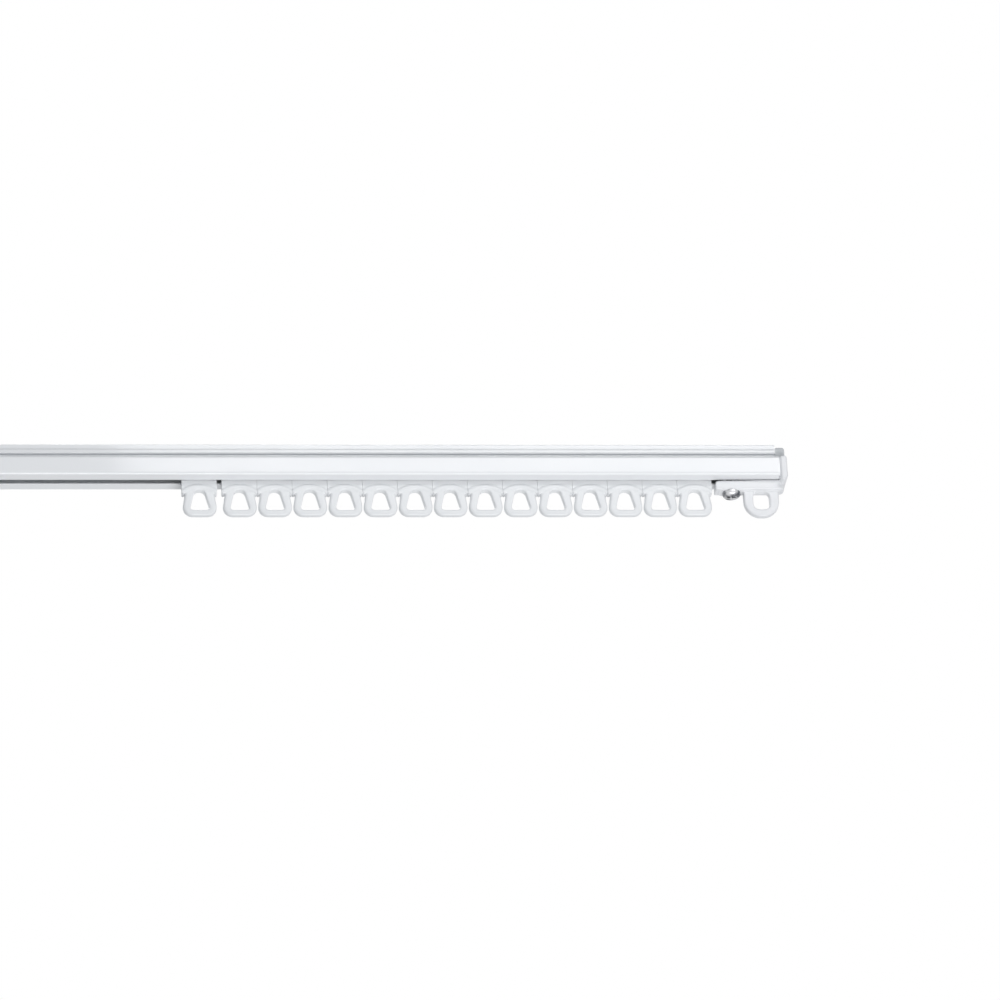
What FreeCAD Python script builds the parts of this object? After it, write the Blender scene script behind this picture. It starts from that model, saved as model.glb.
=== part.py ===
import FreeCAD, Part
import operator
import os
from types import SimpleNamespace

import Sketcher

# A straight curtain track: an extruded rail with a bottom slot, fifteen wheeled ring runners
# stacked at its right end, and a moulded end cap with a hook eye at each end.
# Lengths are millimetres. X runs along the rail, Y away from the room, Z up, and the origin is
# the middle of the rail's top face.

RUNNER_COUNT = 15

DRIVING = [
    ("rail_length", 600, "cut length of the rail"),
    ("rail_depth", 16, "outer depth of the wheel box"),
    ("box_height", 9.3, "outer height of the wheel box"),
    ("wall", 1.0, "wall of the extrusion"),
    ("slot_width", 4.4, "slot between the two lips"),
    ("crown_width", 10.6, "rib that the brackets hold, at its top"),
    ("crown_height", 2.6, "straight side of the rib above its bead"),
    ("bead_width", 12.0, "bead along both sides of the rib"),
    ("bead_height", 2.2, "height of the bead"),
    ("neck_width", 9.6, "rib below the bead"),
    ("groove_height", 1.9, "bracket groove between bead and wheel box"),
    ("box_radius", 1.3, "outer corners of the wheel box"),
    ("bead_radius", 0.65, "edges of the bead"),
    ("crown_radius", 0.5, "top edges of the rib"),
    ("inner_radius", 0.5, "inner corners of the wheel box"),
    ("lip_radius", 0.35, "edges of the lips along the slot"),
    ("rib_setback", 1.4, "rib cut back from each end of the rail"),
    ("runner_length", 15.35, "runner along the rail"),
    ("runner_gap", 0.1, "room between two stacked runners"),
    ("first_gap", 2.1, "further room beside the foremost runner"),
    ("stack_gap", 1.6, "room between the stack and the end cap"),
    ("slot_clearance", 0.4, "runner web to each side of the slot"),
    ("web_rise", 0.6, "runner web above the underside of the rail"),
    ("stem_foot", 9.0, "stem of the runner where it leaves the web"),
    ("stem_head", 5.2, "stem of the runner around its axle"),
    ("stem_cover", 2.6, "stem above the middle of the axle"),
    ("stem_radius", 2.3, "rounded top of the stem"),
    ("flange_fall", 2.2, "rail underside down to the crest of the runner's flange"),
    ("flange_sag", 2.6, "fall of the arched flange from its crest to its ends"),
    ("flange_thickness", 1.6, "thickness of the flange"),
    ("flange_depth", 4.4, "flange across the rail"),
    ("ring_fall", 16.7, "rail underside down to the bottom of the ring"),
    ("ring_crest_width", 6.0, "ring inside the crest of the flange"),
    ("ring_head_width", 12.4, "ring where it leaves the ends of the flange"),
    ("ring_foot_width", 16.5, "ring at its bottom before the corners are rounded"),
    ("ring_head_depth", 3.8, "ring across the rail at the flange"),
    ("ring_foot_depth", 3.0, "ring across the rail at its bottom"),
    ("ring_radius", 4.6, "lower outer corners of the ring"),
    ("eye_cover", 0.6, "ring between the flange and the top of its eye"),
    ("eye_fall", 14.0, "rail underside down to the flat bottom of the ring's eye"),
    ("eye_foot_width", 8.8, "eye of the ring at its bottom"),
    ("eye_head_width", 4.6, "eye of the ring at its top"),
    ("eye_foot_radius", 1.0, "lower corners of the eye"),
    ("eye_head_radius", 2.1, "upper corners of the eye"),
    ("wheel_diameter", 6.6, "wheel of the runner"),
    ("wheel_width", 3.6, "width of the wheel"),
    ("wheel_gap", 0.2, "wheel above the lip it rolls on"),
    ("wheel_side_gap", 0.5, "wheel to the stem"),
    ("axle_diameter", 2.0, "axle pressed into both wheels"),
    ("axle_clearance", 0.05, "axle in the stem, at the radius"),
    ("axle_overhang", 0.5, "axle beyond each wheel"),
    ("cap_thickness", 3.4, "end cap over the end of the rail"),
    ("cap_overlap", 2.0, "end cap below the underside of the rail"),
    ("cap_chamfer", 1.5, "lower outer edge of the end cap"),
    ("cap_edge", 0.7, "rounded outer edges of the end cap"),
    ("plug_length", 8, "plug of the end cap inside the rail"),
    ("plug_clearance", 0.2, "plug to the inside of the rail"),
    ("arm_reach", 28.4, "arm of the end cap under the rail"),
    ("arm_outreach", 2.2, "arm beyond the end of the rail"),
    ("arm_gap", 0.85, "arm to the underside of the rail"),
    ("arm_height", 4.0, "height of the arm"),
    ("arm_depth", 7.0, "arm across the rail"),
    ("arm_radius", 1.3, "rounded ends of the arm"),
    ("key_reach", 15, "key on the arm that enters the slot"),
    ("key_rise", 1.4, "key above the underside of the rail"),
    ("boss_length", 11.4, "boss under the clamp screw, along the rail"),
    ("boss_radius", 2.6, "upright edges of the boss"),
    ("boss_fall", 0.35, "boss below the arm"),
    ("hook_centre", 13.0, "clamp screw on to the middle of the hook eye"),
    ("hook_width", 15.7, "hook eye, outside"),
    ("hook_fall", 12.35, "arm down to the bottom of the hook eye"),
    ("hook_depth", 3.4, "hook eye across the rail"),
    ("hook_hole_width", 7.2, "hole of the hook eye"),
    ("hook_hole_height", 8.4, "height of the hole of the hook eye"),
    ("hook_hole_foot", 3.5, "hook eye below its hole"),
    ("hook_hole_radius", 2.4, "corners of the hole of the hook eye"),
    ("screw_inset", 7.2, "inner end of the arm to the clamp screw"),
    ("screw_diameter", 4.0, "shank of the clamp screw"),
    ("screw_clearance", 0.25, "shank in the arm, at the radius"),
    ("screw_length", 10, "clamp screw under its head"),
    ("head_diameter", 8.0, "head of the clamp screw"),
    ("head_height", 2.2, "head of the clamp screw"),
    ("head_bevel", 0.9, "bevelled edge of the screw head"),
    ("recess_length", 4.4, "cross recess from end to end"),
    ("recess_width", 1.0, "wing of the cross recess"),
    ("recess_sink", 1.4, "depth of the cross recess"),
    ("nut_width", 7.0, "square nut on the lips"),
    ("nut_thickness", 2.4, "square nut on the lips"),
    ("rib_plug_outreach", 2.8, "rib plug beyond the end of the rail"),
    ("rib_plug_drop", 0.8, "rib plug below the top of the rail"),
    ("rib_plug_radius", 1.2, "rounded top of the rib plug"),
    ("rib_tongue", 6, "tongue of the rib plug inside the rib"),
]

doc = FreeCAD.newDocument("curtain_track")
sheet = doc.addObject("Spreadsheet::Sheet", "sizes")
for row, (alias, number, note) in enumerate(DRIVING, start=1):
    sheet.set(f"A{row}", alias)
    sheet.set(f"B{row}", str(number))
    sheet.set(f"C{row}", note)
    sheet.setAlias(f"B{row}", alias)
doc.recompute()

SIGNS = {"+": operator.add, "-": operator.sub, "*": operator.mul, "/": operator.truediv}


class Size:
    """A length with its present value and the sheet expression that drives it."""

    def __init__(self, value, text):
        self.value = value
        self.text = text

    def __add__(self, other):
        return combine(self, "+", other)

    def __radd__(self, other):
        return combine(other, "+", self)

    def __sub__(self, other):
        return combine(self, "-", other)

    def __rsub__(self, other):
        return combine(other, "-", self)

    def __mul__(self, other):
        return combine(self, "*", other)

    def __rmul__(self, other):
        return combine(other, "*", self)

    def __truediv__(self, other):
        return combine(self, "/", other)

    def __neg__(self):
        return combine(0, "-", self)


def as_size(item):
    return item if isinstance(item, Size) else Size(item, str(item))


def combine(left, sign, right):
    left = as_size(left)
    right = as_size(right)
    return Size(SIGNS[sign](left.value, right.value), f"({left.text} {sign} {right.text})")


S = SimpleNamespace(**{alias: Size(sheet.get(alias), f"sizes.{alias}") for alias, _, _ in DRIVING})


def bind(target, prop, size):
    target.setExpression(prop, as_size(size).text)


def new_body(label):
    body = doc.addObject("PartDesign::Body", label)
    body.Label = label
    return body


def new_sketch(body, name, plane, offset=None):
    """A sketch on one of the body's origin planes, lifted off it by offset along its normal."""
    sketch = body.newObject("Sketcher::SketchObject", name)
    datum = next(f for f in body.Origin.OriginFeatures if f.Role == plane)
    sketch.AttachmentSupport = [(datum, "")]
    sketch.MapMode = "FlatFace"
    if offset is not None:
        bind(sketch, "AttachmentOffset.Base.z", offset)
    return sketch


def pin(sketch, geometry, end, point):
    """Tie one end of a line or arc to a point given by two sizes."""
    for kind, axis, coordinate in (("DistanceX", -2, point[0]), ("DistanceY", -1, point[1])):
        if isinstance(coordinate, Size):
            value = coordinate.value
            index = sketch.addConstraint(Sketcher.Constraint(kind, -1, 1, geometry, end, value))
            sketch.setExpression(f"Constraints[{index}]", coordinate.text)
        else:
            sketch.addConstraint(Sketcher.Constraint("PointOnObject", geometry, end, axis))


def flat(point):
    return FreeCAD.Vector(as_size(point[0]).value, as_size(point[1]).value, 0)


def draw_outline(sketch, corners):
    """Draw a closed outline of straight lines through corners given as pairs of sizes."""
    first = sketch.GeometryCount
    count = len(corners)
    for index, corner in enumerate(corners):
        following = corners[(index + 1) % count]
        sketch.addGeometry(Part.LineSegment(flat(corner), flat(following)))
    for index, corner in enumerate(corners):
        line = first + index
        following = first + (index + 1) % count
        sketch.addConstraint(Sketcher.Constraint("Coincident", line, 2, following, 1))
        pin(sketch, line, 1, corner)


def draw_circle(sketch, centre, radius):
    circle = sketch.addGeometry(Part.Circle(flat(centre), FreeCAD.Vector(0, 0, 1), radius.value))
    pin(sketch, circle, 3, centre)
    index = sketch.addConstraint(Sketcher.Constraint("Radius", circle, radius.value))
    sketch.setExpression(f"Constraints[{index}]", radius.text)


def block(left, right, low, high):
    return [(left, low), (right, low), (right, high), (left, high)]


def mirrored(side):
    """Close a half outline, given on the positive side, with its mirror image."""
    return side + [(-u, v) for u, v in reversed(side)]


def symmetric_pad(body, sketch, length):
    pad = body.newObject("PartDesign::Pad", f"{sketch.Name}_pad")
    pad.Profile = sketch
    pad.SideType = "Symmetric"
    bind(pad, "Length", length)
    doc.recompute()
    return pad


def one_way_pad(body, sketch, length, reverse=False):
    pad = body.newObject("PartDesign::Pad", f"{sketch.Name}_pad")
    pad.Profile = sketch
    pad.Reversed = reverse
    bind(pad, "Length", length)
    doc.recompute()
    return pad


def through_cut(body, sketch):
    cut = body.newObject("PartDesign::Pocket", f"{sketch.Name}_cut")
    cut.Profile = sketch
    cut.Type = "ThroughAll"
    cut.SideType = "Symmetric"
    doc.recompute()
    return cut


def turned(body, sketch):
    """Revolve a sketch once round its own horizontal axis."""
    solid = body.newObject("PartDesign::Revolution", f"{sketch.Name}_turned")
    solid.Profile = sketch
    solid.ReferenceAxis = (sketch, ["H_Axis"])
    solid.Angle = 360
    doc.recompute()
    return solid


def corner_edges(base, axis, corners):
    """Names of the straight edges along an axis that pass through the given corners."""
    others = [i for i in range(3) if i != axis]
    wanted = [flat(corner) for corner in corners]
    names = []
    for index, edge in enumerate(base.Shape.Edges, start=1):
        along = edge.valueAt(edge.LastParameter) - edge.valueAt(edge.FirstParameter)
        middle = edge.CenterOfMass
        if along.Length < 1e-6 or abs(along[axis]) < 0.999 * along.Length:
            continue
        place = FreeCAD.Vector(middle[others[0]], middle[others[1]], 0)
        if any((place - corner).Length < 1e-3 for corner in wanted):
            names.append(f"Edge{index}")
    return names


def dress(body, kind, base, edges, size):
    """Round or chamfer named edges of the body's last feature."""
    finish = body.newObject(f"PartDesign::{kind}", f"{base.Name}_{kind.lower()}")
    finish.Base = (base, edges)
    bind(finish, "Radius" if kind == "Fillet" else "Size", size)
    doc.recompute()
    return finish


def copy_of(source, label):
    link = doc.addObject("App::Link", label)
    link.LinkedObject = source
    link.Label = label
    return link


def place(target, along, across, up):
    bind(target, "Placement.Base.x", along)
    bind(target, "Placement.Base.y", across)
    bind(target, "Placement.Base.z", up)


X_AXIS, Y_AXIS, Z_AXIS = range(3)
sub_parts = []

# Rail: one aluminium extrusion. The wheel box is open below between two lips, and the hollow rib
# above it has a bead on each side for the brackets to grip under.
roof = S.crown_height + S.bead_height + S.groove_height
rail_height = roof + S.box_height
lip_top = -rail_height + S.wall
box_half = S.rail_depth / 2
chamber_half = box_half - S.wall
rib_half = S.neck_width / 2 - S.wall
bead_low = -(S.crown_height + S.bead_height)

crown_corner = (S.crown_width / 2, 0)
bead_corners = [(S.bead_width / 2, -S.crown_height), (S.bead_width / 2, bead_low)]
box_corners = [(box_half, -roof), (box_half, -rail_height)]
lip_corners = [(S.slot_width / 2, -rail_height), (S.slot_width / 2, lip_top)]
chamber_corners = [(chamber_half, lip_top), (chamber_half, -roof - S.wall)]
outer_side = [
    crown_corner,
    (S.crown_width / 2, -S.crown_height),
    *bead_corners,
    (S.neck_width / 2, bead_low),
    (S.neck_width / 2, -roof),
    *box_corners,
]
inner_side = [
    *lip_corners,
    *chamber_corners,
    (rib_half, -roof - S.wall),
    (rib_half, -S.wall),
]

rail = new_body("rail")
section = new_sketch(rail, "rail_section", "YZ_Plane")
draw_outline(section, mirrored(outer_side + inner_side))
rail_solid = symmetric_pad(rail, section, S.rail_length)
for corners, radius in (
    ([crown_corner], S.crown_radius),
    (bead_corners, S.bead_radius),
    (box_corners, S.box_radius),
    (lip_corners, S.lip_radius),
    (chamber_corners, S.inner_radius),
):
    edges = corner_edges(rail_solid, X_AXIS, mirrored(corners))
    rail_solid = dress(rail, "Fillet", rail_solid, edges, radius)

rail_end = S.rail_length / 2
rib_end = rail_end - S.rib_setback
setback = new_sketch(rail, "rib_setback", "XZ_Plane")
for sign in (1, -1):
    draw_outline(setback, block(rib_end * sign, (rail_end + S.wall) * sign, -roof, S.wall))
through_cut(rail, setback)
sub_parts.append(rail)

# Runner: one moulding. A web passes up through the slot to a stem that holds the axle, and an
# arched flange under the rail carries a tapered ring with a three-cornered eye for the hook.
# Its own origin lies on the underside of the rail.
web_thickness = S.slot_width - 2 * S.slot_clearance
runner_half = S.runner_length / 2
axle_height = S.wall + S.wheel_gap + S.wheel_diameter / 2
flange_radius = (runner_half * runner_half + S.flange_sag * S.flange_sag) / (2 * S.flange_sag)
flange_ends = S.flange_fall + S.flange_sag
flange_low = S.flange_fall + S.flange_thickness
eye_top = flange_low + S.eye_cover

runner = new_body("runner_01")
ring = new_sketch(runner, "ring", "XZ_Plane")
ring_foot = (S.ring_foot_width / 2, -S.ring_fall)
draw_outline(ring, mirrored([
    (S.ring_crest_width / 2, -S.flange_fall - S.flange_thickness / 2),
    (S.ring_head_width / 2, -flange_ends),
    ring_foot,
]))
ring_solid = symmetric_pad(runner, ring, S.ring_head_depth)
ring_edges = corner_edges(ring_solid, Y_AXIS, mirrored([ring_foot]))
ring_solid = dress(runner, "Fillet", ring_solid, ring_edges, S.ring_radius)

taper = new_sketch(runner, "ring_taper", "YZ_Plane")
for sign in (1, -1):
    wide = S.ring_head_depth / 2 * sign
    draw_outline(taper, [
        (wide, -flange_low),
        (wide, -S.ring_fall),
        (S.ring_foot_depth / 2 * sign, -S.ring_fall),
    ])
through_cut(runner, taper)

flange = new_sketch(runner, "flange", "YZ_Plane")
bind(flange, "AttachmentOffset.Base.y", -S.flange_fall - flange_radius)
draw_outline(flange, block(
    -S.flange_depth / 2, S.flange_depth / 2,
    flange_radius - S.flange_thickness, flange_radius,
))
arch = runner.newObject("PartDesign::Revolution", "flange_arch")
arch.Profile = flange
arch.ReferenceAxis = (flange, ["H_Axis"])
arch.Midplane = True
arch.setExpression("Angle", f"2 * asin({runner_half.text} / {flange_radius.text})")
doc.recompute()

web = new_sketch(runner, "web_and_stem", "XZ_Plane")
stem_top = axle_height + S.stem_cover
stem_crest = (S.stem_head / 2, stem_top)
draw_outline(web, mirrored([
    (runner_half - S.flange_thickness / 2, -flange_ends),
    (runner_half, S.web_rise),
    (S.stem_foot / 2, S.web_rise),
    (S.stem_head / 2, axle_height),
    stem_crest,
]))
web_solid = symmetric_pad(runner, web, web_thickness)
stem_edges = corner_edges(web_solid, Y_AXIS, mirrored([stem_crest]))
dress(runner, "Fillet", web_solid, stem_edges, S.stem_radius)

eye = new_sketch(runner, "eye", "XZ_Plane")
eye_foot = (S.eye_foot_width / 2, -S.eye_fall)
eye_head = (S.eye_head_width / 2, -eye_top)
draw_outline(eye, mirrored([eye_head, eye_foot]))
eye_solid = through_cut(runner, eye)
for corner, radius in ((eye_foot, S.eye_foot_radius), (eye_head, S.eye_head_radius)):
    eye_edges = corner_edges(eye_solid, Y_AXIS, mirrored([corner]))
    eye_solid = dress(runner, "Fillet", eye_solid, eye_edges, radius)

bore = new_sketch(runner, "axle_bore", "XZ_Plane")
draw_circle(bore, (0, axle_height), S.axle_diameter / 2 + S.axle_clearance)
through_cut(runner, bore)

# Wheel pair: two moulded wheels that roll on the lips, on either side of the stem.
wheel_inner = web_thickness / 2 + S.wheel_side_gap
wheel_outer = wheel_inner + S.wheel_width
wheels = new_body("wheel_pair_01")
tread = new_sketch(wheels, "wheel_profile", "YZ_Plane")
for sign in (1, -1):
    draw_outline(tread, block(
        wheel_inner * sign, wheel_outer * sign, S.axle_diameter / 2, S.wheel_diameter / 2,
    ))
turned(wheels, tread)

# Wheel axle: a steel pin, pressed into both wheels and turning in the stem.
axle = new_body("wheel_axle_01")
pin_profile = new_sketch(axle, "axle_profile", "YZ_Plane")
axle_half = wheel_outer + S.axle_overhang
draw_outline(pin_profile, block(-axle_half, axle_half, 0, S.axle_diameter / 2))
turned(axle, pin_profile)

# The stack: runner 15 stands next to the right end cap, and the others follow it to the left.
pitch = S.runner_length + S.runner_gap
stack_end = rail_end - S.arm_reach - S.stack_gap - runner_half
for number in range(1, RUNNER_COUNT + 1):
    along = stack_end - pitch * (RUNNER_COUNT - number)
    if number == 1:
        along = along - S.first_gap
    for source, name, height in (
        (runner, "runner", -rail_height),
        (wheels, "wheel_pair", -rail_height + axle_height),
        (axle, "wheel_axle", -rail_height + axle_height),
    ):
        piece = source if number == 1 else copy_of(source, f"{name}_{number:02d}")
        place(piece, along, 0, height)
        sub_parts.append(piece)

# End cap: one moulding. A plate closes the end of the rail, a plug and a key locate it in the wheel
# box and in the slot, and an arm under the rail carries the hook eye and the boss of the screw.
# Its own origin lies on the end of the rail, on the underside.
arm_top = -S.arm_gap
arm_low = arm_top - S.arm_height
boss_low = arm_low - S.boss_fall
key_half = S.slot_width / 2 - S.slot_clearance
screw_setback = S.arm_reach - S.screw_inset
chamber_top = rail_height - roof - S.wall

cap = new_body("end_cap_right")
plate = new_sketch(cap, "plate", "YZ_Plane")
draw_outline(plate, block(-box_half, box_half, -S.cap_overlap, S.box_height))
plate_solid = one_way_pad(cap, plate, S.cap_thickness)
chamfer_edges = corner_edges(plate_solid, Y_AXIS, [(S.cap_thickness, -S.cap_overlap)])
plate_solid = dress(cap, "Chamfer", plate_solid, chamfer_edges, S.cap_chamfer)
rounded = corner_edges(plate_solid, Y_AXIS, [(S.cap_thickness, S.box_height)])
rounded += corner_edges(plate_solid, Z_AXIS, [
    (S.cap_thickness, box_half),
    (S.cap_thickness, -box_half),
])
dress(cap, "Fillet", plate_solid, rounded, S.cap_edge)

plug = new_sketch(cap, "plug", "YZ_Plane")
plug_half = chamber_half - S.plug_clearance
draw_outline(plug, block(
    -plug_half, plug_half, S.wall + S.plug_clearance, chamber_top - S.plug_clearance,
))
one_way_pad(cap, plug, S.plug_length, reverse=True)

key = new_sketch(cap, "slot_key", "XZ_Plane")
draw_outline(key, block(-S.key_reach, S.cap_thickness / 2, arm_low + S.arm_height / 2, S.key_rise))
symmetric_pad(cap, key, 2 * key_half)

arm = new_sketch(cap, "arm", "XZ_Plane")
draw_outline(arm, block(-S.arm_reach, S.arm_outreach, arm_low, arm_top))
arm_solid = symmetric_pad(cap, arm, S.arm_depth)
arm_edges = corner_edges(arm_solid, Y_AXIS, [(-S.arm_reach, arm_top), (S.arm_outreach, arm_low)])
dress(cap, "Fillet", arm_solid, arm_edges, S.arm_radius)

boss = new_sketch(cap, "screw_boss", "XY_Plane", arm_low + S.arm_height / 2)
boss_corners = block(
    -screw_setback - S.boss_length / 2, -screw_setback + S.boss_length / 2,
    -S.arm_depth / 2, S.arm_depth / 2,
)
draw_outline(boss, boss_corners)
boss_solid = one_way_pad(cap, boss, S.arm_height / 2 + S.boss_fall, reverse=True)
boss_edges = corner_edges(boss_solid, Z_AXIS, boss_corners)
dress(cap, "Fillet", boss_solid, boss_edges, S.boss_radius)

hook = new_sketch(cap, "hook_eye", "XZ_Plane")
hook_middle = S.hook_centre - screw_setback
hook_low = arm_low - S.hook_fall
hook_left = hook_middle - S.hook_width / 2
hook_right = hook_middle + S.hook_width / 2
draw_outline(hook, block(hook_left, hook_right, hook_low, arm_low + S.arm_radius))
hook_solid = symmetric_pad(cap, hook, S.hook_depth)
hook_edges = corner_edges(hook_solid, Y_AXIS, [(hook_left, hook_low), (hook_right, hook_low)])
hook_solid = dress(cap, "Fillet", hook_solid, hook_edges, S.hook_width / 2 - S.lip_radius)

hole = new_sketch(cap, "hook_hole", "XZ_Plane")
hole_left = hook_middle - S.hook_hole_width / 2
hole_right = hook_middle + S.hook_hole_width / 2
hole_low = hook_low + S.hook_hole_foot
hole_corners = block(hole_left, hole_right, hole_low, hole_low + S.hook_hole_height)
draw_outline(hole, hole_corners)
hole_solid = through_cut(cap, hole)
hole_edges = corner_edges(hole_solid, Y_AXIS, hole_corners)
dress(cap, "Fillet", hole_solid, hole_edges, S.hook_hole_radius)

screw_hole = new_sketch(cap, "screw_hole", "XY_Plane")
draw_circle(screw_hole, (-screw_setback, 0), S.screw_diameter / 2 + S.screw_clearance)
through_cut(cap, screw_hole)

# Clamp screw: a pan-head steel screw with a cross recess. Its own origin lies under its head, and
# it points up through the boss and the slot.
screw = new_body("cap_screw_right")
screw_profile = new_sketch(screw, "screw_profile", "XZ_Plane")
draw_outline(screw_profile, [
    (0, -S.head_height),
    (S.head_diameter / 2 - S.head_bevel, -S.head_height),
    (S.head_diameter / 2, -S.head_height + S.head_bevel),
    (S.head_diameter / 2, 0),
    (S.screw_diameter / 2, 0),
    (S.screw_diameter / 2, S.screw_length),
    (0, S.screw_length),
])
screw_solid = screw.newObject("PartDesign::Revolution", "screw_turned")
screw_solid.Profile = screw_profile
screw_solid.ReferenceAxis = (screw_profile, ["V_Axis"])
screw_solid.Angle = 360
doc.recompute()
recess = new_sketch(screw, "cross_recess", "XY_Plane", -S.head_height)
long_half = S.recess_length / 2
short_half = S.recess_width / 2
quarter = [(short_half, long_half), (short_half, short_half), (long_half, short_half)]
upper = [(-u, v) for u, v in reversed(quarter)] + quarter
draw_outline(recess, upper + [(-u, -v) for u, v in upper])
recess_cut = screw.newObject("PartDesign::Pocket", "cross_recess_cut")
recess_cut.Profile = recess
recess_cut.Reversed = True
bind(recess_cut, "Length", S.recess_sink)
doc.recompute()

# Square nut: a steel nut that lies on both lips inside the rail and takes the clamp screw.
nut = new_body("cap_nut_right")
nut_face = new_sketch(nut, "nut_face", "XY_Plane")
nut_half = S.nut_width / 2
draw_outline(nut_face, block(-nut_half, nut_half, -nut_half, nut_half))
draw_circle(nut_face, (0, 0), S.screw_diameter / 2)
one_way_pad(nut, nut_face, S.nut_thickness)

# Rib plug: a moulded plug that closes the hollow rib in front of the set-back end. Its own origin
# lies on the end of the rail, on the roof of the wheel box.
rib_plug = new_body("rib_plug_right")
plug_head = new_sketch(rib_plug, "plug_head", "YZ_Plane", -S.rib_setback)
head_half = S.crown_width / 2
plug_top = roof - S.rib_plug_drop
plug_corners = [(head_half, plug_top), (-head_half, plug_top)]
draw_outline(plug_head, block(-head_half, head_half, 0, plug_top))
head_solid = one_way_pad(rib_plug, plug_head, S.rib_setback + S.rib_plug_outreach)
head_edges = corner_edges(head_solid, X_AXIS, plug_corners)
head_edges += corner_edges(head_solid, Y_AXIS, [(S.rib_plug_outreach, plug_top)])
dress(rib_plug, "Fillet", head_solid, head_edges, S.rib_plug_radius)
tongue = new_sketch(rib_plug, "tongue", "YZ_Plane", -S.rib_setback)
tongue_half = rib_half - S.plug_clearance
draw_outline(tongue, block(-tongue_half, tongue_half, 0, roof - S.wall - S.plug_clearance))
one_way_pad(rib_plug, tongue, S.rib_tongue, reverse=True)

# Both ends carry the same set of pieces: the left set is the right one turned half round.
HALF_TURN = FreeCAD.Rotation(FreeCAD.Vector(0, 0, 1), 180)
for source, name, inset, height in (
    (cap, "end_cap", 0, -rail_height),
    (rib_plug, "rib_plug", 0, -roof),
    (screw, "cap_screw", screw_setback, -rail_height + boss_low),
    (nut, "cap_nut", screw_setback, lip_top),
):
    twin = copy_of(source, f"{name}_left")
    twin.Placement = FreeCAD.Placement(FreeCAD.Vector(), HALF_TURN)
    place(source, rail_end - inset, 0, height)
    place(twin, inset - rail_end, 0, height)
    sub_parts += [source, twin]

doc.recompute()
failed = [item.Label for item in doc.Objects if {"Invalid", "Error"} & set(item.State)]
if failed:
    raise RuntimeError(f"not computed: {failed}")
shapes = {piece.Label: Part.getShape(piece) for piece in sub_parts}
faulty = [label for label, shape in shapes.items() if shape.isNull() or not shape.isValid()]
if faulty:
    raise RuntimeError(f"not valid: {faulty}")
os.makedirs("parts", exist_ok=True)
for label, shape in shapes.items():
    shape.exportStep(f"parts/{label}.step")
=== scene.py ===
import math

import bmesh
import bpy
from mathutils import Matrix, Vector


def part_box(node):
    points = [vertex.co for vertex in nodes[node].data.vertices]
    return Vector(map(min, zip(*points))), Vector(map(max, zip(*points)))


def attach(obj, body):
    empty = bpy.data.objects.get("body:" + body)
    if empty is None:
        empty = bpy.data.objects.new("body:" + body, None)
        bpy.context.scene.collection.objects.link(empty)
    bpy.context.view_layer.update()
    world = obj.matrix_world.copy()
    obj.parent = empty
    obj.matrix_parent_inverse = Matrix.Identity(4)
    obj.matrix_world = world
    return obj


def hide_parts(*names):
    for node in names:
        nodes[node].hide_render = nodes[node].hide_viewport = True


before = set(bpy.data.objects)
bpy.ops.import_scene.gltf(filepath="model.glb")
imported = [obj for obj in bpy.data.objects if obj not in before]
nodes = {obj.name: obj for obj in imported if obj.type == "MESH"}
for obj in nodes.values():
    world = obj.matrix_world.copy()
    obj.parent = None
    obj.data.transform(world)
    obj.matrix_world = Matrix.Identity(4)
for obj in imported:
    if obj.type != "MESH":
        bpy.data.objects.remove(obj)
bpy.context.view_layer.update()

# Rail: one straight aluminium extrusion, open below between two lips and ribbed on top.
# It is cut to length and powder coated white, which leaves a fine orange peel over faint die lines.


class Shade:
    """A value that changes over a surface. Sums of such values add Math nodes to their tree."""

    def __init__(self, tree, socket):
        self.tree = tree
        self.socket = socket

    def node(self, kind, settings, values, output=0):
        """Adds any other node from its type, its settings, and the values or links of its sockets."""
        made = self.tree.nodes.new(kind)
        for name, setting in settings.items():
            setattr(made, name, setting)
        sockets = {socket.identifier: socket for socket in made.inputs}
        for name, value in values.items():
            if isinstance(value, Shade):
                self.tree.links.new(value.socket, sockets[name])
            else:
                sockets[name].default_value = value
        return Shade(self.tree, made.outputs[output] if made.outputs else None)

    def math(self, operation, first, second):
        return self.node("ShaderNodeMath", {"operation": operation}, {"Value": first, "Value_001": second})

    def __add__(self, other):
        return self.math("ADD", self, other)

    def __radd__(self, other):
        return self.math("ADD", other, self)

    def __sub__(self, other):
        return self.math("SUBTRACT", self, other)

    def __rsub__(self, other):
        return self.math("SUBTRACT", other, self)

    def __mul__(self, other):
        return self.math("MULTIPLY", self, other)

    def __rmul__(self, other):
        return self.math("MULTIPLY", other, self)


def new_finish(name, **constants):
    """A bare material with its shader, and the Object coordinates that its patterns lie on."""
    material = bpy.data.materials.new(name)
    material.use_nodes = True
    tree = material.node_tree
    shader = next(n for n in tree.nodes if n.type == "BSDF_PRINCIPLED")
    for socket, value in constants.items():
        shader.inputs[socket.replace("_", " ").title().replace("Ior", "IOR")].default_value = value
    place = Shade(tree, tree.nodes.new("ShaderNodeTexCoord").outputs["Object"])
    return material, shader, place


def feed(shader, socket, shade):
    shade.tree.links.new(shade.socket, shader.inputs[socket])


def grain(place, scale, detail=3.0, stretch=(1, 1, 1)):
    """Noise over the surface, with its pattern drawn out along an axis where stretch is below 1."""
    drawn = place.node("ShaderNodeMapping", {}, {"Vector": place, "Scale": stretch})
    return place.node("ShaderNodeTexNoise", {}, {"Vector": drawn, "Scale": scale, "Detail": detail})


def two_tone(place, mask, dark, light):
    return place.node(
        "ShaderNodeMix", {"data_type": "RGBA"},
        {"Factor_Float": mask, "A_Color": (*dark, 1), "B_Color": (*light, 1)}, output=2,
    )


def relief(place, height, depth, strength):
    return place.node("ShaderNodeBump", {}, {"Height": height, "Distance": depth, "Strength": strength})


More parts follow.
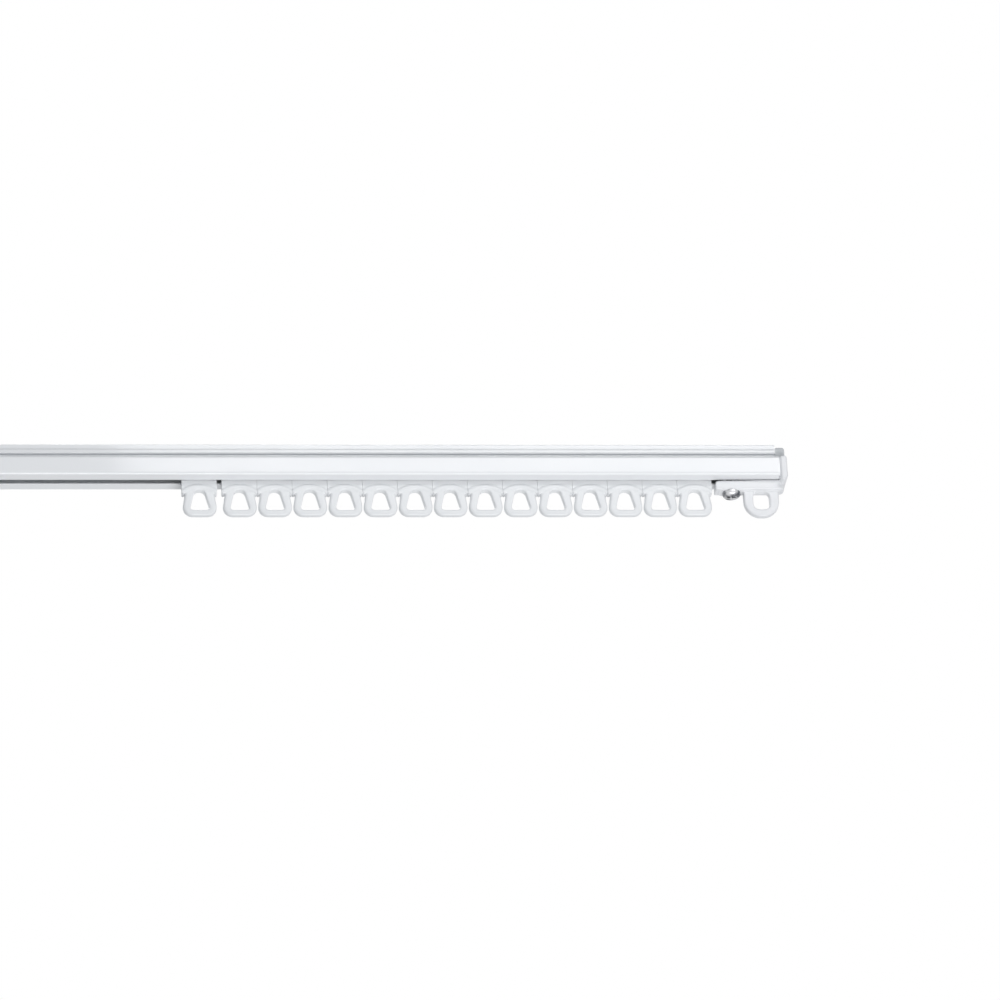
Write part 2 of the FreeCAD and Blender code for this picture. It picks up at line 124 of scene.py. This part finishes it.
def powder_coat():
    material, shader, place = new_finish("rail_powder_coat", coat_roughness=0.06, coat_ior=1.5)
    peel = grain(place, 1600)
    cloud = grain(place, 45, stretch=(0.35, 1, 1))
    die_lines = grain(place, 2200, detail=1.0, stretch=(0.004, 1, 1))
    feed(shader, "Base Color", two_tone(place, cloud, (0.815, 0.83, 0.85), (0.87, 0.88, 0.895)))
    feed(shader, "Roughness", 0.30 + 0.16 * peel + 0.06 * cloud)
    feed(shader, "Coat Weight", 0.45 + 0.35 * cloud)
    feed(shader, "Normal", relief(place, peel * 0.7 + die_lines * 0.3, 0.00004, 0.35))
    return material


def finish_node(node, material):
    nodes[node].data.materials.clear()
    nodes[node].data.materials.append(material)


finish_node("rail", powder_coat())

# Wheels and axles: on each runner a pair of turned acetal wheels, pressed on a drawn steel pin.
# The wheels roll on the two lips inside the rail, and only their shadow shows through the slot.


def acetal():
    material, shader, place = new_finish("wheel_acetal", ior=1.48)
    mottle = grain(place, 700)
    tread = grain(place, 3000, detail=1.0, stretch=(0.02, 1, 0.02))
    feed(shader, "Base Color", two_tone(place, mottle, (0.70, 0.70, 0.69), (0.80, 0.80, 0.79)))
    feed(shader, "Roughness", 0.38 + 0.2 * mottle)
    feed(shader, "Normal", relief(place, tread, 0.00003, 0.3))
    return material


def drawn_steel():
    material, shader, place = new_finish("axle_drawn_steel", metallic=1.0)
    scratches = grain(place, 4000, detail=2.0, stretch=(1, 0.01, 1))
    feed(shader, "Base Color", two_tone(place, scratches, (0.46, 0.47, 0.48), (0.62, 0.62, 0.63)))
    feed(shader, "Roughness", 0.22 + 0.25 * scratches)
    feed(shader, "Normal", relief(place, scratches, 0.00001, 0.4))
    return material


wheel_material = acetal()
axle_material = drawn_steel()
for node in nodes:
    if node.startswith("wheel_pair"):
        finish_node(node, wheel_material)
    if node.startswith("wheel_axle"):
        finish_node(node, axle_material)

# Runners: one white moulding each, with a web through the slot up to the axle, an arched flange
# under the rail, and a tapered ring with a three-cornered eye. They hang on their wheels.
# The mould leaves soft edges, a parting line down the middle and a satin skin.
mm = 0.001
RUNNERS = sorted(node for node in nodes if node.startswith("runner_"))
runner_low, runner_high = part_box(RUNNERS[0])
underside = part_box("rail")[0].z
runner_half = (runner_high.x - runner_low.x) / 2
runner_trim = 0.6 * mm
mould_half = runner_half + runner_trim
flange_half_depth = (runner_high.y - runner_low.y) / 2
ring_bottom = runner_low.z - underside
stem_top = runner_high.z - underside
flange_crest = -2.2 * mm
flange_sag = 2.6 * mm
flange_thickness = 1.6 * mm
ring_crest_half = 3.0 * mm
ring_head_half = 6.2 * mm
ring_foot_half = 8.25 * mm
ring_head_depth = 3.8 * mm
ring_foot_depth = 3.0 * mm
ring_shoulder = flange_crest - flange_sag
ring_crest = flange_crest - flange_thickness / 2
ring_corner = 5.3 * mm
ring_edge = 0.95 * mm
eye_top = flange_crest - flange_thickness - 0.6 * mm
eye_bottom = -14.0 * mm
eye_edge = 0.4 * mm
eye_head_half = 2.1 * mm
eye_foot_half = 4.5 * mm
eye_head_corner = 1.8 * mm
eye_foot_corner = 1.7 * mm
web_half = 1.8 * mm
web_rise = 0.6 * mm
stem_foot_half = 4.5 * mm
stem_head_half = 2.6 * mm
stem_corner = 2.2 * mm
axle_height = (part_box("wheel_axle_01")[0].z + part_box("wheel_axle_01")[1].z) / 2 - underside
axle_bore = 1.05 * mm
skin_cell = 0.28 * mm
near = 0.01 * mm


def open_block(name, low, high):
    """Adds a cube between two corners, alone in the selection, and opens it in edit mode."""
    low = Vector(low)
    high = Vector(high)
    bpy.ops.object.select_all(action="DESELECT")
    bpy.ops.mesh.primitive_cube_add(size=1, location=(low + high) / 2, scale=high - low)
    return opened(name)


def open_round(name, radius, low, high, axis, vertices=48):
    """Adds a cylinder between two points along an axis and opens it in edit mode."""
    low = Vector(low)
    high = Vector(high)
    turn = (math.pi / 2, 0, 0) if axis == "Y" else (0, 0, 0)
    bpy.ops.object.select_all(action="DESELECT")
    bpy.ops.mesh.primitive_cylinder_add(
        vertices=vertices, radius=radius, depth=(high - low).length,
        location=(low + high) / 2, rotation=turn,
    )
    return opened(name)


def opened(name):
    piece = bpy.context.object
    piece.name = name
    bpy.ops.object.transform_apply(location=True, rotation=True, scale=True)
    bpy.ops.object.mode_set(mode="EDIT")
    return piece


def closed(piece):
    bpy.ops.object.mode_set(mode="OBJECT")
    return piece


def pick_faces(test):
    """Selects the faces whose middle and normal pass the test, in the mesh that is being edited."""
    bpy.ops.mesh.select_mode(type="FACE")
    bpy.ops.mesh.select_all(action="DESELECT")
    mesh = bmesh.from_edit_mesh(bpy.context.object.data)
    for face in mesh.faces:
        face.select_set(test(face.calc_center_median(), face.normal))
    bmesh.update_edit_mesh(bpy.context.object.data)


def pick_edges(test):
    """Selects the edges whose middle and direction pass the test, in the mesh that is being edited."""
    bpy.ops.mesh.select_mode(type="EDGE")
    bpy.ops.mesh.select_all(action="DESELECT")
    mesh = bmesh.from_edit_mesh(bpy.context.object.data)
    for edge in mesh.edges:
        first, second = (v.co for v in edge.verts)
        edge.select_set(test((first + second) / 2, (second - first).normalized()))
    bmesh.update_edit_mesh(bpy.context.object.data)


def across(along):
    return abs(along.y) > 0.9


def round_off(width, segments):
    bpy.ops.mesh.bevel(offset=width, offset_type="OFFSET", segments=segments, profile=0.5, affect="EDGES")


def sized(x, y, middle):
    bpy.ops.transform.resize(value=(x, y, 1), center_override=middle)


def cut(piece, cutter):
    """Takes the cutter's shape out of the piece."""
    bpy.ops.object.select_all(action="DESELECT")
    bpy.context.view_layer.objects.active = piece
    tool = piece.modifiers.new("cut", "BOOLEAN")
    tool.operation = "DIFFERENCE"
    tool.solver = "EXACT"
    tool.object = cutter
    bpy.ops.object.modifier_apply(modifier=tool.name)
    bpy.data.objects.remove(cutter)


def soften_rims(piece, width):
    """Rounds the sharp rims that a cut has left."""
    bpy.ops.object.select_all(action="DESELECT")
    bpy.context.view_layer.objects.active = piece
    bpy.ops.object.mode_set(mode="EDIT")
    bpy.ops.mesh.select_mode(type="EDGE")
    bpy.ops.mesh.select_all(action="DESELECT")
    bpy.ops.mesh.edges_select_sharp(sharpness=math.radians(60))
    round_off(width, 4)
    closed(piece)


def moulded(name, forms, cell, softness):
    """Melts overlapping forms into one skin with soft edges."""
    bpy.ops.object.select_all(action="DESELECT")
    for form in forms:
        form.select_set(True)
    bpy.context.view_layer.objects.active = forms[0]
    bpy.ops.object.join()
    piece = bpy.context.object
    piece.name = name
    skin = piece.modifiers.new("skin", "REMESH")
    skin.mode = "VOXEL"
    skin.voxel_size = cell
    soft = piece.modifiers.new("soft", "SMOOTH")
    soft.factor = 0.5
    soft.iterations = softness
    for modifier in list(piece.modifiers):
        bpy.ops.object.modifier_apply(modifier=modifier.name)
    bpy.ops.object.shade_smooth()
    return piece


def runner_ring():
    ring = open_block(
        "ring",
        (-ring_head_half, -ring_head_depth / 2, ring_bottom),
        (ring_head_half, ring_head_depth / 2, ring_shoulder),
    )
    pick_faces(lambda middle, normal: normal.z < -0.9)
    sized(ring_foot_half / ring_head_half, ring_foot_depth / ring_head_depth, (0, 0, ring_bottom))
    pick_edges(lambda middle, along: across(along) and middle.z < ring_bottom + mm)
    round_off(ring_corner, 10)
    pick_edges(lambda middle, along: not across(along) and middle.z < ring_shoulder - mm)
    round_off(ring_edge, 4)
    pick_faces(lambda middle, normal: normal.z > 0.9)
    bpy.ops.mesh.extrude_region_move(TRANSFORM_OT_translate={"value": (0, 0, ring_crest - ring_shoulder)})
    sized(ring_crest_half / ring_head_half, 1, (0, 0, 0))
    return closed(ring)


def eye_cutter():
    eye = open_block(
        "eye",
        (-eye_head_half, -2 * flange_half_depth, eye_bottom),
        (eye_head_half, 2 * flange_half_depth, eye_top),
    )
    pick_faces(lambda middle, normal: normal.z < -0.9)
    sized(eye_foot_half / eye_head_half, 1, (0, 0, eye_bottom))
    pick_edges(lambda middle, along: across(along) and middle.z < eye_bottom + mm)
    round_off(eye_foot_corner, 6)
    pick_edges(lambda middle, along: across(along) and middle.z > eye_top - mm)
    round_off(eye_head_corner, 6)
    return closed(eye)


def runner_flange():
    arch = (runner_half ** 2 + flange_sag ** 2) / (2 * flange_sag)
    lean = math.asin(mould_half / arch)
    centre = Vector((0, 0, flange_crest - arch))
    reach = arch - flange_thickness / 2
    bpy.ops.object.select_all(action="DESELECT")
    bpy.ops.mesh.primitive_plane_add(
        size=1,
        location=centre + reach * Vector((-math.sin(lean), 0, math.cos(lean))),
        rotation=(0, -math.pi / 2 - lean, 0),
    )
    bpy.context.object.scale = (flange_thickness, 2 * flange_half_depth, 1)
    flange = opened("flange")
    bpy.ops.mesh.select_all(action="SELECT")
    bpy.ops.mesh.spin(steps=16, angle=2 * lean, center=centre, axis=(0, -1, 0))
    bpy.ops.mesh.select_all(action="SELECT")
    bpy.ops.mesh.remove_doubles(threshold=near)
    bpy.ops.mesh.normals_make_consistent(inside=False)
    return closed(flange)


def runner_stem():
    foot = flange_crest - flange_sag
    stem = open_block("stem", (-mould_half, -web_half, foot), (mould_half, web_half, web_rise))
    pick_faces(lambda middle, normal: normal.z > 0.9)
    for half_before, half, rise in (
        (mould_half, stem_foot_half, 0),
        (stem_foot_half, stem_head_half, axle_height - web_rise),
        (stem_head_half, stem_head_half, stem_top - axle_height),
    ):
        bpy.ops.mesh.extrude_region_move(TRANSFORM_OT_translate={"value": (0, 0, rise)})
        sized(half / half_before, 1, (0, 0, 0))
    pick_edges(lambda middle, along: across(along) and middle.z > stem_top - 0.1 * mm)
    round_off(stem_corner, 8)
    return closed(stem)


def trimmed(piece, half):
    """Cuts both ends of a piece off flat, where it meets the next one in its row."""
    bpy.ops.object.select_all(action="DESELECT")
    piece.select_set(True)
    bpy.context.view_layer.objects.active = piece
    bpy.ops.object.mode_set(mode="EDIT")
    for side in (-1, 1):
        bpy.ops.mesh.select_all(action="SELECT")
        bpy.ops.mesh.bisect(
            plane_co=(side * half, 0, 0), plane_no=(side, 0, 0), threshold=0.001 * mm,
            use_fill=True, clear_outer=True,
        )
    closed(piece)
    bpy.ops.object.shade_smooth_by_angle(angle=math.radians(50))


def moulding_satin(name, dark, light):
    """White moulded plastic: a satin skin, a faint cloud in its colour and a parting line at y = 0."""
    material, shader, place = new_finish(name, ior=1.47, coat_roughness=0.2)
    cloud = grain(place, 120)
    skin = grain(place, 2600)
    apart = place.node("ShaderNodeSeparateXYZ", {}, {"Vector": place}, output=1)
    off_line = apart.node("ShaderNodeMath", {"operation": "ABSOLUTE"}, {"Value": apart})
    line = off_line.node(
        "ShaderNodeMapRange", {}, {"Value": off_line, "From Max": 0.00012, "To Min": 1.0, "To Max": 0.0},
    )
    feed(shader, "Base Color", two_tone(place, cloud * 0.8 + skin * 0.2 - line * 0.12, dark, light))
    feed(shader, "Roughness", 0.34 + 0.14 * skin + 0.08 * cloud)
    feed(shader, "Coat Weight", 0.15 + 0.2 * cloud)
    feed(shader, "Normal", relief(place, skin * 0.4 + line, 0.00005, 0.3))
    return material


ring = runner_ring()
stem = runner_stem()
for form in (ring, stem):
    cut(form, eye_cutter())
soften_rims(ring, eye_edge)
bore = open_round("bore", axle_bore, (0, -4 * web_half, axle_height), (0, 4 * web_half, axle_height), "Y")
cut(stem, closed(bore))
pattern_runner = moulded("pattern_runner", [ring, runner_flange(), stem], cell=skin_cell, softness=3)
trimmed(pattern_runner, runner_half)
runner_material = moulding_satin("runner_satin", (0.80, 0.815, 0.83), (0.87, 0.88, 0.89))
pattern_runner.data.materials.append(runner_material)
for node in RUNNERS:
    low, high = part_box(node)
    piece = bpy.data.objects.new(f"{node}_moulding", pattern_runner.data.copy())
    bpy.context.scene.collection.objects.link(piece)
    piece.data.transform(Matrix.Translation(((low.x + high.x) / 2, 0, underside)))
    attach(piece, node.replace("runner", "carriage"))
    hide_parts(node)
bpy.data.objects.remove(pattern_runner)

# End caps: one white moulding at each end of the rail. A plate closes the wheel box, a plug and a key
# locate it, and an arm under the rail carries the boss of the clamp screw and the hook eye.
cap_low, cap_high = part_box("end_cap_right")
screw_low, screw_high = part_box("cap_screw_right")
rail_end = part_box("rail")[1].x
cap_thickness = cap_high.x - rail_end
plate_half = cap_high.y
plate_top = cap_high.z - underside
plate_foot = -2.0 * mm
plate_chamfer = 1.5 * mm
plate_edge = 0.7 * mm
plate_seam = 0.8 * mm
cap_plug_reach = 8 * mm
cap_plug_half = 6.8 * mm
cap_plug_foot = 1.2 * mm
cap_plug_top = plate_top - 1.2 * mm
key_reach = 15 * mm
key_half = 1.8 * mm
key_top = 1.4 * mm
arm_reach = rail_end - cap_low.x
arm_outreach = 2.2 * mm
arm_top = -0.85 * mm
arm_lean = 0.55 * mm
arm_foot = -4.85 * mm
arm_middle = (arm_top + arm_foot) / 2
arm_half = 3.5 * mm
arm_corner = 1.3 * mm
arm_end_corner = 3.0 * mm
arm_edge = 0.6 * mm
screw_setback = rail_end - (screw_low.x + screw_high.x) / 2
boss_half = 5.7 * mm
boss_corner = 2.6 * mm
head_height = 2.2 * mm
boss_foot = screw_low.z + head_height - underside
hook_centre = 8.2 * mm
hook_half = 7.85 * mm
hook_bottom = cap_low.z - underside
hook_half_depth = 1.7 * mm
hook_flat = 0.3 * mm
hook_edge = 0.75 * mm
hole_half = 3.6 * mm
hole_bottom = hook_bottom + 3.5 * mm
hole_top = hole_bottom + 8.4 * mm
hole_corner = 2.4 * mm
hole_edge = 0.6 * mm
screw_hole = 2.25 * mm


def cap_plate():
    plate = open_block("plate", (0, -plate_half, plate_foot), (cap_thickness, plate_half, plate_top))
    pick_edges(lambda middle, along: across(along) and middle.x > cap_thickness / 2 and middle.z < 0)
    round_off(plate_chamfer, 1)
    pick_edges(lambda middle, along: middle.x > cap_thickness - near and middle.z > 0)
    round_off(plate_edge, 4)
    pick_edges(lambda middle, along: middle.x < near)
    round_off(plate_seam, 1)
    return closed(plate)


def cap_arm():
    arm = open_block("arm", (-arm_reach, -arm_half, arm_foot), (arm_outreach, arm_half, arm_top))
    pick_edges(lambda middle, along: across(along) and middle.x > 0 and middle.z > arm_middle)
    bpy.ops.transform.translate(value=(0, 0, arm_lean))
    pick_edges(lambda middle, along: abs(along.z) > 0.9 and middle.x > 0)
    round_off(arm_end_corner, 8)
    pick_edges(lambda middle, along: across(along) and middle.x < 0 and middle.z > arm_middle)
    round_off(arm_corner, 5)
    pick_edges(lambda middle, along: middle.z < arm_foot + near)
    round_off(arm_edge, 4)
    return closed(arm)


def screw_boss():
    boss = open_block(
        "boss",
        (-screw_setback - boss_half, -arm_half, boss_foot),
        (-screw_setback + boss_half, arm_half, arm_middle),
    )
    pick_edges(lambda middle, along: abs(along.z) > 0.9)
    round_off(boss_corner, 6)
    return closed(boss)


def hook_ring():
    hook = open_block(
        "hook",
        (-hook_centre - hook_half, -hook_half_depth, hook_bottom),
        (-hook_centre + hook_half, hook_half_depth, arm_foot + arm_corner),
    )
    pick_edges(lambda middle, along: across(along) and middle.z < hook_bottom + mm)
    round_off(hook_half - hook_flat, 16)
    pick_edges(lambda middle, along: not across(along) and middle.z < arm_foot)
    round_off(hook_edge, 4)
    return closed(hook)


def hook_hole():
    hole = open_block(
        "hole",
        (-hook_centre - hole_half, -arm_half * 2, hole_bottom),
        (-hook_centre + hole_half, arm_half * 2, hole_top),
    )
    pick_edges(lambda middle, along: across(along))
    round_off(hole_corner, 8)
    return closed(hole)


plate = cap_plate()
plug = closed(open_block(
    "plug",
    (-cap_plug_reach, -cap_plug_half, cap_plug_foot),
    (cap_thickness / 2, cap_plug_half, cap_plug_top),
))
key = closed(open_block(
    "key",
    (-key_reach, -key_half, arm_middle),
    (cap_thickness / 2, key_half, key_top),
))
arm = cap_arm()
boss = screw_boss()
for form in (arm, boss):
    bore = open_round(
        "bore", screw_hole, (-screw_setback, 0, 2 * boss_foot), (-screw_setback, 0, key_top), "Z",
    )
    cut(form, closed(bore))
hook = hook_ring()
cut(hook, hook_hole())
soften_rims(hook, hole_edge)
pattern_cap = moulded("pattern_cap", [plate, plug, key, arm, boss, hook], cell=skin_cell, softness=2)
pattern_cap.data.materials.append(moulding_satin("cap_satin", (0.80, 0.81, 0.83), (0.87, 0.875, 0.89)))


def at_both_ends(pattern, name, place):
    """Copies a piece made for the right end to both ends, the left one turned half round."""
    for end, turn in (("right", 0), ("left", math.pi)):
        node = f"{name}_{end}"
        piece = bpy.data.objects.new(f"{node}_piece", pattern.data.copy())
        bpy.context.scene.collection.objects.link(piece)
        piece.data.transform(Matrix.Rotation(turn, 4, "Z") @ Matrix.Translation(place))
        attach(piece, "track")
        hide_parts(node)
    bpy.data.objects.remove(pattern)


at_both_ends(pattern_cap, "end_cap", (rail_end, 0, underside))

# Square nuts: one at each end, pressed from steel strip, tapped and zinc plated.
# They lie on both lips inside the rail, across the slot, where the clamp screws draw them down.


def zinc_plate(name, dark, light):
    material, shader, place = new_finish(name, metallic=1.0)
    bloom = grain(place, 400)
    dulled = bloom.node("ShaderNodeMapRange", {}, {"Value": bloom, "From Min": 0.40, "From Max": 0.60})
    grit = grain(place, 5200, detail=2.0)
    feed(shader, "Base Color", two_tone(place, dulled, dark, light))
    feed(shader, "Roughness", 0.22 + 0.12 * dulled + 0.10 * grit)
    feed(shader, "Normal", relief(place, grit, 0.00002, 0.35))
    return material


nut_material = zinc_plate("nut_zinc_plate", (0.34, 0.345, 0.36), (0.68, 0.69, 0.70))
for node in ("cap_nut_right", "cap_nut_left"):
    finish_node(node, nut_material)

# Clamp screws: a pan-head machine screw through the boss of each end cap into its nut.
# The head is cold formed with a cross recess, then zinc plated.
head_radius = (screw_high.x - screw_low.x) / 2
head_face = screw_low.z - underside
head_seat = boss_foot
head_dome = 1.5 * mm
shank_radius = 2 * mm
shank_tip = screw_high.z - underside
shank_point = 0.5 * mm
recess_half = 2.3 * mm
recess_wing = 0.55 * mm
recess_floor = head_face + 1.5 * mm
recess_taper = 0.55


def clamp_screw():
    screw = open_round("screw", head_radius, (0, 0, head_face), (0, 0, head_seat), "Z", vertices=64)
    pick_edges(lambda middle, along: middle.z < head_face + near and abs(along.z) < 0.1)
    round_off(head_dome, 8)
    pick_faces(lambda middle, normal: normal.z > 0.9)
    bpy.ops.mesh.inset(thickness=head_radius - shank_radius)
    shank_length = shank_tip - head_seat - shank_point
    bpy.ops.mesh.extrude_region_move(TRANSFORM_OT_translate={"value": (0, 0, shank_length)})
    bpy.ops.mesh.extrude_region_move(TRANSFORM_OT_translate={"value": (0, 0, shank_point)})
    tip = 1 - shank_point / shank_radius
    sized(tip, tip, (0, 0, 0))
    return closed(screw)


def recess_slot(half_x, half_y):
    """One wing of the cross recess, narrowing towards its floor."""
    slot = open_block("slot", (-half_x, -half_y, head_face - mm), (half_x, half_y, recess_floor))
    pick_faces(lambda middle, normal: normal.z > 0.9)
    sized(recess_taper, recess_taper, (0, 0, 0))
    return closed(slot)


pattern_screw = clamp_screw()
cut(pattern_screw, recess_slot(recess_half, recess_wing))
cut(pattern_screw, recess_slot(recess_wing, recess_half))
bpy.context.view_layer.objects.active = pattern_screw
pattern_screw.select_set(True)
bpy.ops.object.shade_smooth_by_angle(angle=math.radians(35))
screw_material = zinc_plate("screw_zinc_plate", (0.12, 0.125, 0.14), (0.60, 0.605, 0.62))
pattern_screw.data.materials.append(screw_material)
at_both_ends(pattern_screw, "cap_screw", (rail_end - screw_setback, 0, underside))

# Rib plugs: a grey moulded plug in each end of the hollow rib. Its tongue is pressed into the rib, and
# its round head stands a little out of the rail.
plug_low, plug_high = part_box("rib_plug_right")
plug_outreach = plug_high.x - rail_end
plug_half = plug_high.y
plug_height = plug_high.z - plug_low.z
plug_round = 2.0 * mm
plug_wall = 1.7 * mm
rib_setback = 1.4 * mm
tongue_length = rail_end - rib_setback - plug_low.x


def plug_matte():
    material, shader, place = new_finish("plug_matte", ior=1.46)
    cloud = grain(place, 260)
    skin = grain(place, 3200)
    feed(shader, "Base Color", two_tone(place, cloud, (0.60, 0.62, 0.635), (0.70, 0.72, 0.735)))
    feed(shader, "Roughness", 0.5 + 0.2 * skin)
    feed(shader, "Normal", relief(place, skin, 0.00004, 0.4))
    return material


def rib_plug():
    plug = open_block("plug", (-rib_setback, -plug_half, 0), (plug_outreach, plug_half, plug_height))
    pick_edges(lambda middle, along: middle.z > plug_height - near)
    round_off(plug_round, 8)
    pick_faces(lambda middle, normal: normal.x < -0.9)
    bpy.ops.mesh.inset(thickness=plug_wall)
    bpy.ops.mesh.extrude_region_move(TRANSFORM_OT_translate={"value": (-tongue_length, 0, 0)})
    return closed(plug)


pattern_plug = rib_plug()
pattern_plug.select_set(True)
bpy.context.view_layer.objects.active = pattern_plug
bpy.ops.object.shade_smooth_by_angle(angle=math.radians(35))
pattern_plug.data.materials.append(plug_matte())
at_both_ends(pattern_plug, "rib_plug", (rail_end, 0, plug_low.z))

# Room: a pale floor well below the track, soft light from the front, below and behind, and a camera
# that looks up at the stack of runners, with the rail level in its picture.
FLOOR_DROP = 9
FLOOR_SIZE = 90
LENS = 300
SENSOR = 36
VIEW_WIDTH = 0.4386
VIEW_AZIMUTH = math.radians(-7.5)
VIEW_ELEVATION = math.radians(-26)
LOOK_AT = Vector((0.1761, 0, -0.0246))


def seen_by_eye(tree):
    """1 on rays from the camera, a reflection or clear glass, and 0 on the rays that carry light."""
    path = tree.nodes.new("ShaderNodeLightPath")
    camera, glossy, through = (
        Shade(tree, path.outputs[name])
        for name in ("Is Camera Ray", "Is Glossy Ray", "Is Transmission Ray")
    )
    return camera.math("MAXIMUM", camera.math("MAXIMUM", camera, glossy), through)


world = bpy.data.worlds.new("room")
bpy.context.scene.world = world
world.use_nodes = True
tree = world.node_tree
tree.nodes.clear()
sky = Shade(tree, None)
seen = seen_by_eye(tree)
white = sky.node("ShaderNodeBackground", {}, {"Color": (1, 1, 1, 1), "Strength": 1.0})
fill = sky.node("ShaderNodeBackground", {}, {"Color": (0.93, 0.96, 1, 1), "Strength": 0.42})
both = sky.node("ShaderNodeMixShader", {}, {"Fac": seen, "Shader": fill, "Shader_001": white})
sky.node("ShaderNodeOutputWorld", {}, {"Surface": both})

bpy.ops.object.select_all(action="DESELECT")
bpy.ops.mesh.primitive_plane_add(size=FLOOR_SIZE, location=(0, 0, -FLOOR_DROP))
floor = bpy.context.object
floor.name = "floor"
pale = bpy.data.materials.new("floor_pale")
pale.use_nodes = True
tree = pale.node_tree
tree.nodes.clear()
ground = Shade(tree, None)
matt = ground.node("ShaderNodeBsdfDiffuse", {}, {"Color": (0.82, 0.82, 0.82, 1)})
glow = ground.node("ShaderNodeEmission", {}, {"Color": (1, 1, 1, 1), "Strength": 1.0})
seen = seen_by_eye(tree)
both = ground.node("ShaderNodeMixShader", {}, {"Fac": seen, "Shader": matt, "Shader_001": glow})
ground.node("ShaderNodeOutputMaterial", {}, {"Surface": both})
floor.data.materials.append(pale)


def softbox(name, place, aim, width, height, power):
    light = bpy.data.lights.new(name, "AREA")
    light.shape = "RECTANGLE"
    light.size = width
    light.size_y = height
    light.energy = power
    lamp = bpy.data.objects.new(name, light)
    lamp.location = place
    lamp.rotation_mode = "QUATERNION"
    lamp.rotation_quaternion = (Vector(aim) - Vector(place)).to_track_quat("-Z", "Y")
    bpy.context.scene.collection.objects.link(lamp)


softbox("front_softbox", (0.625, -1.44, 0.66), aim=(0.2, 0, 0), width=1.0, height=0.3, power=5.8)
softbox("under_softbox", (0.5, -0.95, -1.42), aim=(0.2, 0, 0), width=1.2, height=0.9, power=17.2)
softbox("back_softbox", (-0.1, 1.15, 1.1), aim=(0, 0, 0), width=1.4, height=0.6, power=15)

lens = bpy.data.cameras.new("camera")
lens.lens = LENS
lens.sensor_width = SENSOR
camera = bpy.data.objects.new("camera", lens)
bpy.context.scene.collection.objects.link(camera)
bpy.context.scene.camera = camera
back = Vector((
    math.sin(VIEW_AZIMUTH) * math.cos(VIEW_ELEVATION),
    -math.cos(VIEW_AZIMUTH) * math.cos(VIEW_ELEVATION),
    math.sin(VIEW_ELEVATION),
))
rail_line = Vector((1, 0, 0))
right = (rail_line - rail_line.dot(back) * back).normalized()
up = back.cross(right)
stand = Matrix.Translation(LOOK_AT + back * VIEW_WIDTH * LENS / SENSOR)
camera.matrix_world = stand @ Matrix((right, up, back)).transposed().to_4x4()

bpy.context.scene.view_settings.view_transform = "Standard"
